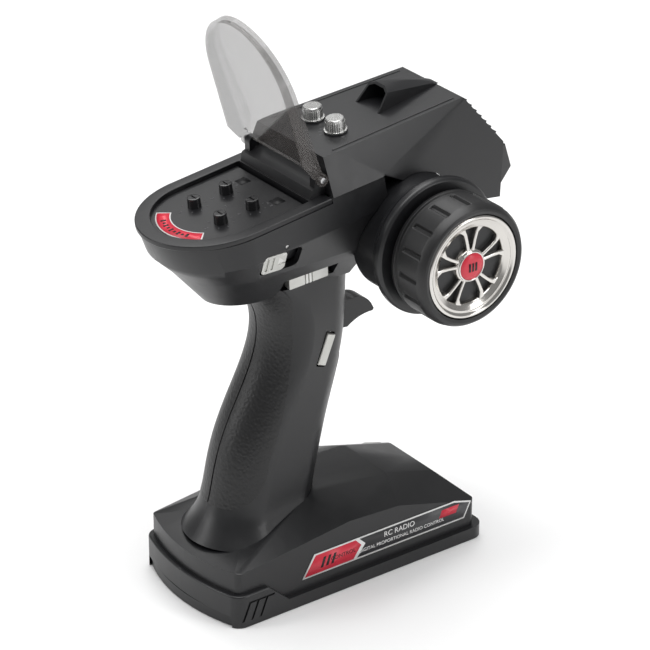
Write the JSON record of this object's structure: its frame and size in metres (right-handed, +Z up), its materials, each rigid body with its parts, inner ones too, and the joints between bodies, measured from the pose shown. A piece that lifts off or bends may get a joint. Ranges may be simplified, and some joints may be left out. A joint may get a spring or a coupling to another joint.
{
  "type": "radio transmitter controller",
  "caption": "Pistol-grip radio transmitter with a side steering wheel, a trigger, a battery base and a smoked lid over its trim knobs.",
  "frame": {"origin": "centre of the base underside, on the symmetry plane of the housing", "axes": "+Z up, +Y towards the nose, +X towards the steering wheel"},
  "size_m": [0.099, 0.1638, 0.2441],
  "materials": {
    "black_shell": "fine satin grain",
    "soft_rubber": "stippled",
    "smoked_clear": "clear smoked",
    "satin_chrome": "satin",
    "silver_paint": "satin metallic",
    "knurled_metal": "knurled",
    "tyre_rubber": "moulded tread",
    "red_print": "printed film",
    "label_film": "printed film",
    "gloss_black": "polished",
    "steel": "plain",
    "spring_steel": "drawn wire",
    "brass": "plain",
    "sensor_plastic": "moulded",
    "board_laminate": "solder mask",
    "cell_can": "wrapped can",
    "clear_lens": "clear",
    "white_cable": "coated"
  },
  "bodies": {
    "housing": {"right_shell": "black_shell", "left_shell": "black_shell", "shell_screws": "steel", "grip_pad_right": "soft_rubber", "grip_pad_left": "soft_rubber", "finger_strip": "soft_rubber", "top_cover": "black_shell", "front_bezel": "gloss_black", "control_panel": "black_shell", "pan_label": "red_print", "side_label_right": "label_film", "side_label_left": "label_film", "hinge_pins": "steel", "trim_pots": "sensor_plastic", "dial_pots": "sensor_plastic", "pan_switch_bodies": "sensor_plastic", "wheel_mount": "black_shell", "steering_sensor": "sensor_plastic", "centring_spring": "spring_steel", "trigger_pin": "steel", "trigger_spring": "spring_steel", "throttle_sensor": "sensor_plastic", "power_switch_body": "sensor_plastic", "power_led": "clear_lens", "aux_switch_body": "sensor_plastic", "grip_button_switch": "sensor_plastic", "battery_box": "black_shell", "battery_cells": "cell_can", "battery_contacts": "brass", "main_board": "board_laminate", "antenna": "white_cable"},
    "steering_wheel": {"tyre": "tyre_rubber", "wheel_rim": "satin_chrome", "wheel_hub": "black_shell", "hub_cap": "red_print", "wheel_shaft": "steel"},
    "trigger": {"trigger": "black_shell"},
    "lid": {"lid": "smoked_clear"},
    "battery_door": {"battery_door": "black_shell"},
    "power_slider": {"power_slider": "silver_paint"},
    "aux_slider": {"aux_slider": "silver_paint"},
    "grip_button": {"grip_button": "silver_paint"},
    "trim_knob_1": {"trim_knob_1": "gloss_black"},
    "trim_knob_2": {"trim_knob_2": "gloss_black"},
    "trim_knob_3": {"trim_knob_3": "gloss_black"},
    "trim_knob_4": {"trim_knob_4": "gloss_black"},
    "channel_dial_1": {"channel_dial_1": "knurled_metal"},
    "pan_switch_1": {"pan_switch_1": "black_shell"},
    "channel_dial_2": {"channel_dial_2": "knurled_metal"},
    "pan_switch_2": {"pan_switch_2": "black_shell"}
  },
  "joints": [
    {"name": "steering", "type": "hinge", "parent": "housing", "child": "steering_wheel", "pos_m": [0.043, 0.0266, 0.1478], "axis": [1, 0, 0], "range_deg": [-35, 35], "stiffness_Nm_per_rad": 0.06},
    {"name": "throttle", "type": "hinge", "parent": "housing", "child": "trigger", "pos_m": [0, 0.002, 0.123], "axis": [1, 0, 0], "range_deg": [-14, 9], "stiffness_Nm_per_rad": 0.08},
    {"name": "lid_hinge", "type": "hinge", "parent": "housing", "child": "lid", "pos_m": [0, -0.0156, 0.181], "axis": [1, 0, 0], "range_deg": [-6, 81.1]},
    {"name": "battery_door_slide", "type": "slide", "parent": "housing", "child": "battery_door", "axis": [0, -1, 0], "range_m": [0, 0.045]},
    {"name": "power_slide", "type": "slide", "parent": "housing", "child": "power_slider", "axis": [0, 1, 0], "range_m": [0, 0.0064]},
    {"name": "aux_slide", "type": "slide", "parent": "housing", "child": "aux_slider", "axis": [0, 0.9986, 0.0523], "range_m": [-0.003, 0.003]},
    {"name": "grip_button_press", "type": "slide", "parent": "housing", "child": "grip_button", "axis": [-1, 0, 0], "range_m": [0, 0.001], "stiffness_N_per_m": 400},
    {"name": "trim_knob_1_turn", "type": "hinge", "parent": "housing", "child": "trim_knob_1", "pos_m": [-0.0089, -0.0514, 0.16403], "axis": [0, -0.124, 0.9923], "range_deg": [-140, 140]},
    {"name": "trim_knob_2_turn", "type": "hinge", "parent": "housing", "child": "trim_knob_2", "pos_m": [0.0089, -0.0514, 0.16403], "axis": [0, -0.124, 0.9923], "range_deg": [-140, 140]},
    {"name": "trim_knob_3_turn", "type": "hinge", "parent": "housing", "child": "trim_knob_3", "pos_m": [-0.0089, -0.0365, 0.1659], "axis": [0, -0.124, 0.9923], "range_deg": [-140, 140]},
    {"name": "trim_knob_4_turn", "type": "hinge", "parent": "housing", "child": "trim_knob_4", "pos_m": [0.0089, -0.0365, 0.1659], "axis": [0, -0.124, 0.9923], "range_deg": [-140, 140]},
    {"name": "channel_dial_1_turn", "type": "hinge", "parent": "housing", "child": "channel_dial_1", "pos_m": [-0.0074, 0.0037, 0.19034], "axis": [0, -0.0916, 0.9958], "range_deg": [-140, 140]},
    {"name": "channel_dial_2_turn", "type": "hinge", "parent": "housing", "child": "channel_dial_2", "pos_m": [0.0074, 0.0037, 0.19034], "axis": [0, -0.0916, 0.9958], "range_deg": [-140, 140]},
    {"name": "pan_switch_1_slide", "type": "slide", "parent": "housing", "child": "pan_switch_1", "axis": [1, 0, 0], "range_m": [0, 0.0032]},
    {"name": "pan_switch_2_slide", "type": "slide", "parent": "housing", "child": "pan_switch_2", "axis": [1, 0, 0], "range_m": [0, 0.0032]}
  ]
}
